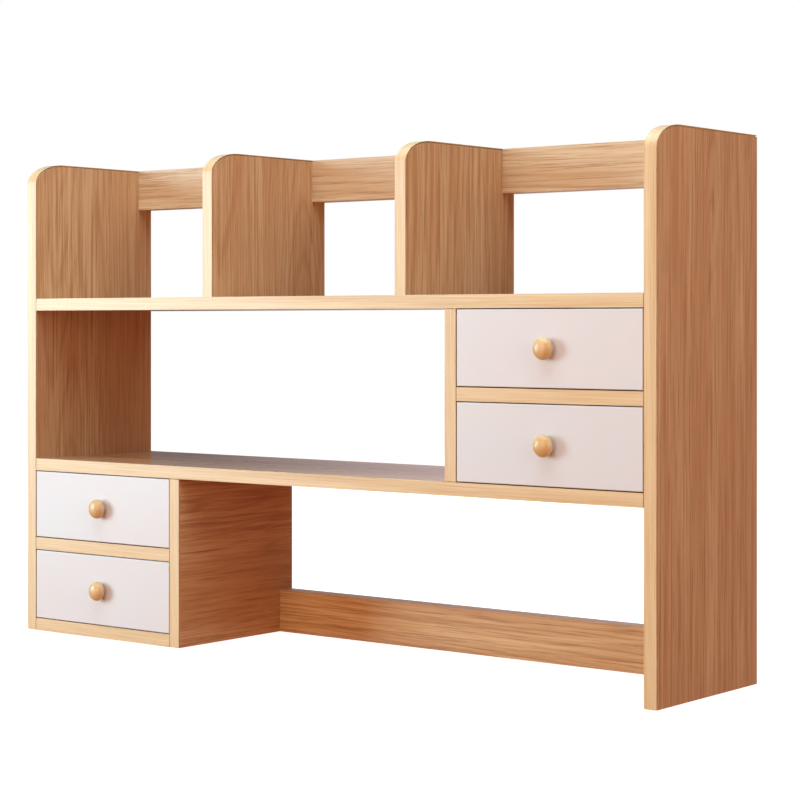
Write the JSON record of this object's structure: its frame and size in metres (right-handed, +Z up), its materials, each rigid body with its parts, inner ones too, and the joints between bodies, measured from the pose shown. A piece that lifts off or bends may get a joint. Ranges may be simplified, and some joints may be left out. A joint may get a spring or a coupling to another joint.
{
  "type": "desk hutch",
  "caption": "Wooden desk hutch with upright cubbies above, open bays, inset sliding drawers with round knobs, and rounded upper corners; stands on a desk top.",
  "frame": {"origin": "on the desk top, under the middle of the width and midway between the knobs' tips and the rear faces", "axes": "+X to the right along the width as seen from the front, +Y from the front to the rear, +Z up"},
  "size_m": [1, 0.236, 0.634],
  "materials": {
    "oak_laminate": "satin oak-grain laminate on 16 and 25 mm board",
    "edge_band": "pale satin wood-grain edge band with eased edges",
    "white_melamine": "smooth satin off-white melamine on board",
    "drawer_wood": "plain pale wood, lightly sanded",
    "thin_panel": "thin smooth fibreboard with a pale wood film",
    "turned_wood": "turned pale hardwood under clear varnish",
    "beech_dowel": "plain beech",
    "zinc": "bright zinc-plated"
  },
  "bodies": {
    "carcass": {"left_side_panel": "oak_laminate", "right_side_panel": "oak_laminate", "top_shelf": "oak_laminate", "middle_shelf": "oak_laminate", "left_divider": "oak_laminate", "right_divider": "oak_laminate", "right_bay_side": "oak_laminate", "right_bay_separator": "oak_laminate", "left_bay_side": "oak_laminate", "left_bay_separator": "oak_laminate", "left_bay_bottom": "oak_laminate", "top_left_rail": "oak_laminate", "top_middle_rail": "oak_laminate", "top_right_rail": "oak_laminate", "lower_rail": "oak_laminate", "left_side_edge_band": "edge_band", "right_side_edge_band": "edge_band", "divider_edge_bands": "edge_band", "top_shelf_edge_band": "edge_band", "middle_shelf_edge_band": "edge_band", "bay_edge_bands": "edge_band", "left_bay_back": "thin_panel", "right_bay_back": "thin_panel", "cam_locks": "zinc", "cam_bolts": "zinc", "wood_dowels": "beech_dowel"},
    "left_lower_drawer": {"left_lower_drawer_front": "white_melamine", "left_lower_drawer_left_side": "drawer_wood", "left_lower_drawer_right_side": "drawer_wood", "left_lower_drawer_back": "drawer_wood", "left_lower_drawer_bottom": "thin_panel", "left_lower_drawer_knob": "turned_wood", "left_lower_drawer_knob_screw": "zinc", "left_lower_drawer_screws": "zinc"},
    "left_upper_drawer": {"left_upper_drawer_front": "white_melamine", "left_upper_drawer_left_side": "drawer_wood", "left_upper_drawer_right_side": "drawer_wood", "left_upper_drawer_back": "drawer_wood", "left_upper_drawer_bottom": "thin_panel", "left_upper_drawer_knob": "turned_wood", "left_upper_drawer_knob_screw": "zinc", "left_upper_drawer_screws": "zinc"},
    "right_lower_drawer": {"right_lower_drawer_front": "white_melamine", "right_lower_drawer_left_side": "drawer_wood", "right_lower_drawer_right_side": "drawer_wood", "right_lower_drawer_back": "drawer_wood", "right_lower_drawer_bottom": "thin_panel", "right_lower_drawer_knob": "turned_wood", "right_lower_drawer_knob_screw": "zinc", "right_lower_drawer_screws": "zinc"},
    "right_upper_drawer": {"right_upper_drawer_front": "white_melamine", "right_upper_drawer_left_side": "drawer_wood", "right_upper_drawer_right_side": "drawer_wood", "right_upper_drawer_back": "drawer_wood", "right_upper_drawer_bottom": "thin_panel", "right_upper_drawer_knob": "turned_wood", "right_upper_drawer_knob_screw": "zinc", "right_upper_drawer_screws": "zinc"}
  },
  "joints": [
    {"name": "left_lower_drawer_slide", "type": "slide", "parent": "carcass", "child": "left_lower_drawer", "axis": [0, -1, 0], "range_m": [0, 0.15]},
    {"name": "left_upper_drawer_slide", "type": "slide", "parent": "carcass", "child": "left_upper_drawer", "axis": [0, -1, 0], "range_m": [0, 0.15]},
    {"name": "right_lower_drawer_slide", "type": "slide", "parent": "carcass", "child": "right_lower_drawer", "axis": [0, -1, 0], "range_m": [0, 0.15]},
    {"name": "right_upper_drawer_slide", "type": "slide", "parent": "carcass", "child": "right_upper_drawer", "axis": [0, -1, 0], "range_m": [0, 0.15]}
  ]
}
